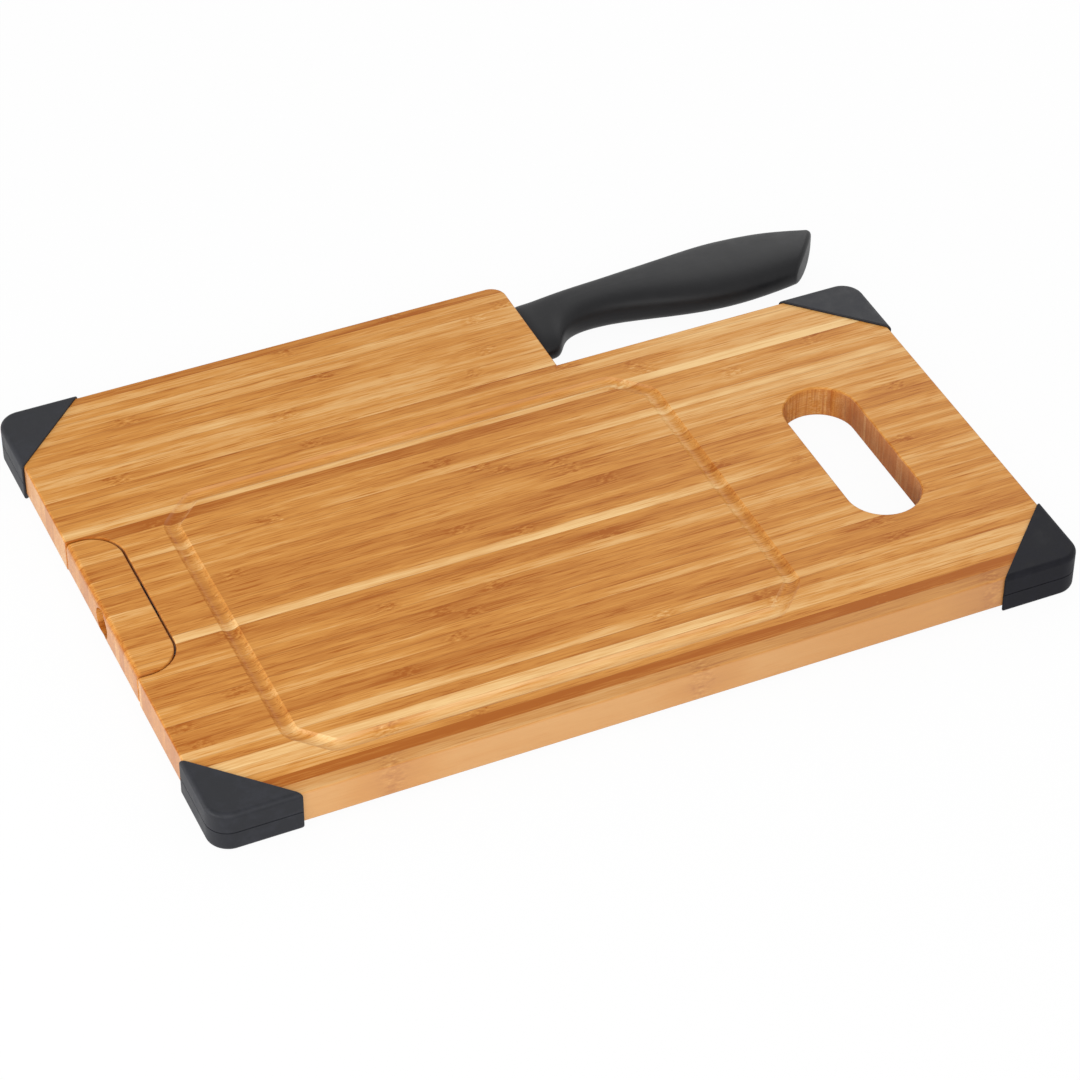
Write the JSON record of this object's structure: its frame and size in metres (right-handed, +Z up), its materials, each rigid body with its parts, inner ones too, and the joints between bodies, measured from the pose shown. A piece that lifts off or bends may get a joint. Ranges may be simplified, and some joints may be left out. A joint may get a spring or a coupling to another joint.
{
  "type": "cutting board",
  "caption": "Rectangular bamboo cutting board with a juice groove, a hand slot, rubber corner feet, a knife stored in its back step and a pull-out sharpener block.",
  "frame": {"origin": "on the table, under the middle of the bounding box with the knife and the block stored", "axes": "+X along the bamboo strips towards the hand slot, +Y towards the edge where the knife lies, +Z up"},
  "size_m": [0.377, 0.2624, 0.0188],
  "materials": {
    "bamboo": "satin lacquer",
    "rubber": "matte",
    "steel": "satin",
    "handle": "satin",
    "cartridge": "matte",
    "ceramic": "matte",
    "magnet": "plated"
  },
  "bodies": {
    "board": {"bamboo_strip_01": "bamboo", "bamboo_strip_02": "bamboo", "bamboo_strip_03": "bamboo", "bamboo_strip_04": "bamboo", "bamboo_strip_05": "bamboo", "bamboo_strip_06": "bamboo", "bamboo_strip_07": "bamboo", "bamboo_strip_08": "bamboo", "bamboo_strip_09": "bamboo", "bamboo_strip_10": "bamboo", "bamboo_strip_11": "bamboo", "bamboo_strip_12": "bamboo", "bamboo_strip_13": "bamboo", "bamboo_strip_14": "bamboo", "bamboo_strip_15": "bamboo", "bamboo_strip_16": "bamboo", "bamboo_strip_17": "bamboo", "bamboo_strip_18": "bamboo", "bamboo_strip_19": "bamboo", "bamboo_strip_20": "bamboo", "bamboo_strip_21": "bamboo", "bamboo_strip_22": "bamboo", "bamboo_strip_23": "bamboo", "bamboo_strip_24": "bamboo", "bamboo_strip_25": "bamboo", "bamboo_strip_26": "bamboo", "bamboo_strip_27": "bamboo", "bamboo_strip_28": "bamboo", "bamboo_strip_29": "bamboo", "bamboo_strip_30": "bamboo", "bamboo_strip_31": "bamboo", "bamboo_strip_32": "bamboo", "bamboo_strip_33": "bamboo", "bamboo_strip_34": "bamboo", "bamboo_strip_35": "bamboo", "bamboo_strip_36": "bamboo", "bamboo_strip_37": "bamboo", "bamboo_strip_38": "bamboo", "bamboo_strip_39": "bamboo", "bamboo_strip_40": "bamboo", "bamboo_strip_41": "bamboo", "bamboo_strip_42": "bamboo", "bamboo_strip_43": "bamboo", "bamboo_strip_44": "bamboo", "bamboo_strip_45": "bamboo", "bamboo_strip_46": "bamboo", "bamboo_strip_47": "bamboo", "bamboo_strip_48": "bamboo", "board_magnets": "magnet", "corner_cap_back_left": "rubber", "corner_cap_back_right": "rubber", "corner_cap_front_left": "rubber", "corner_cap_front_right": "rubber"},
    "knife": {"knife_blade": "steel", "knife_handle": "handle"},
    "sharpener": {"sharpener_block": "bamboo", "sharpener_cartridge": "cartridge", "sharpening_rods": "ceramic", "block_magnets": "magnet"}
  },
  "joints": [
    {"name": "knife_slide", "type": "slide", "parent": "board", "child": "knife", "axis": [1, 0, 0], "range_m": [0, 0.215]},
    {"name": "sharpener_slide", "type": "slide", "parent": "board", "child": "sharpener", "axis": [-1, 0, 0], "range_m": [0, 0.04]}
  ]
}
